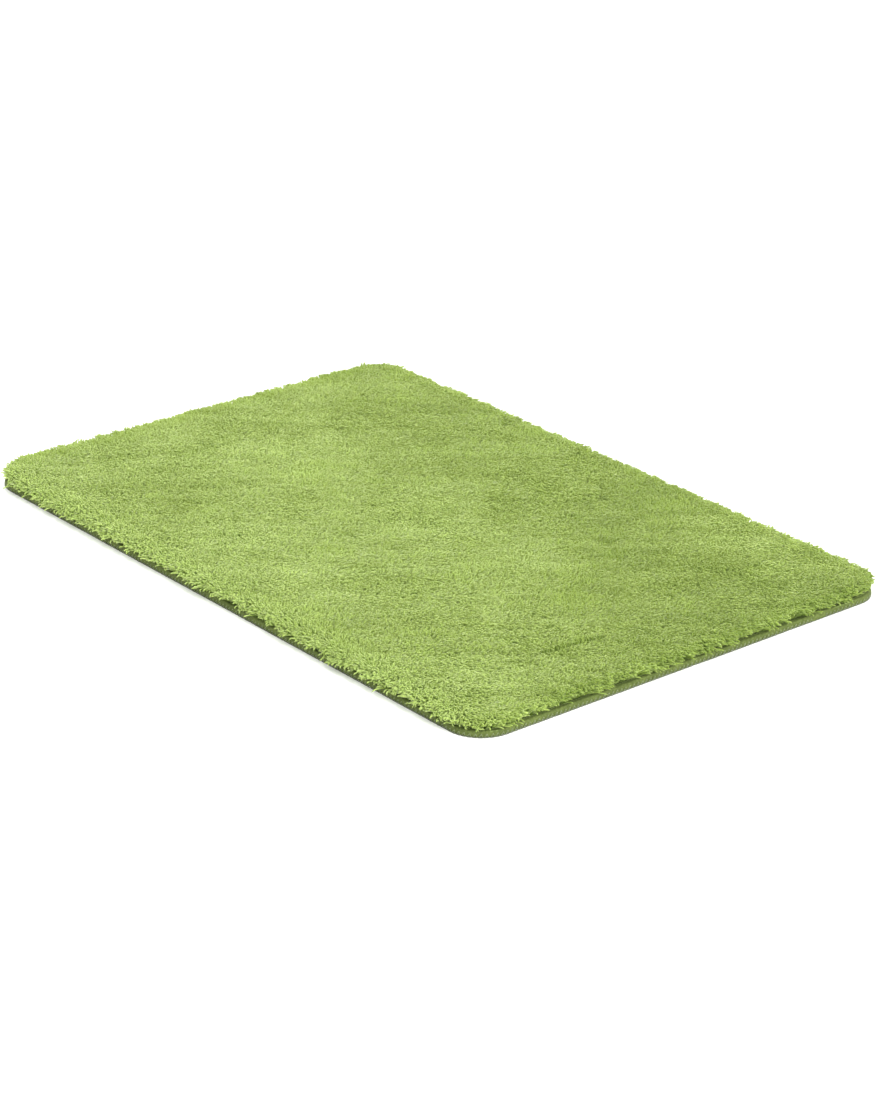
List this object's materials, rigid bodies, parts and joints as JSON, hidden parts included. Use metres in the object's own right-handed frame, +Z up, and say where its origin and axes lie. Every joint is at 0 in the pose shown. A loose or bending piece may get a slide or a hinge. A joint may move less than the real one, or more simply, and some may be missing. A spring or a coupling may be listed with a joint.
{
  "type": "bath mat",
  "caption": "Rectangular bath mat with rounded corners: deep cut pile over a cushioned non-slip base, its edge bound in folded tape.",
  "frame": {"origin": "middle of the mat's underside, on the floor plane", "axes": "+X along the long side, +Y along the short side, +Z up through the pile"},
  "size_m": [0.9, 0.6, 0.0211],
  "materials": {
    "backing_rubber": "matt textured anti-slip latex",
    "cushion_felt": "needled felt",
    "latex_coat": "matt latex film",
    "woven_cloth": "plain woven",
    "pile_yarn": "soft cut microfibre yarn",
    "edge_tape": "fine woven tape",
    "sewing_thread": "twisted polyester thread",
    "overlock_thread": "twisted polyester thread"
  },
  "bodies": {
    "root": {"anti_slip_backing": "backing_rubber", "cushion_layer": "cushion_felt", "latex_precoat": "latex_coat", "tufting_cloth": "woven_cloth", "pile": "pile_yarn", "edge_tape": "edge_tape", "top_seam_thread": "sewing_thread", "under_seam_thread": "sewing_thread", "overlock_thread": "overlock_thread"}
  },
  "joints": []
}
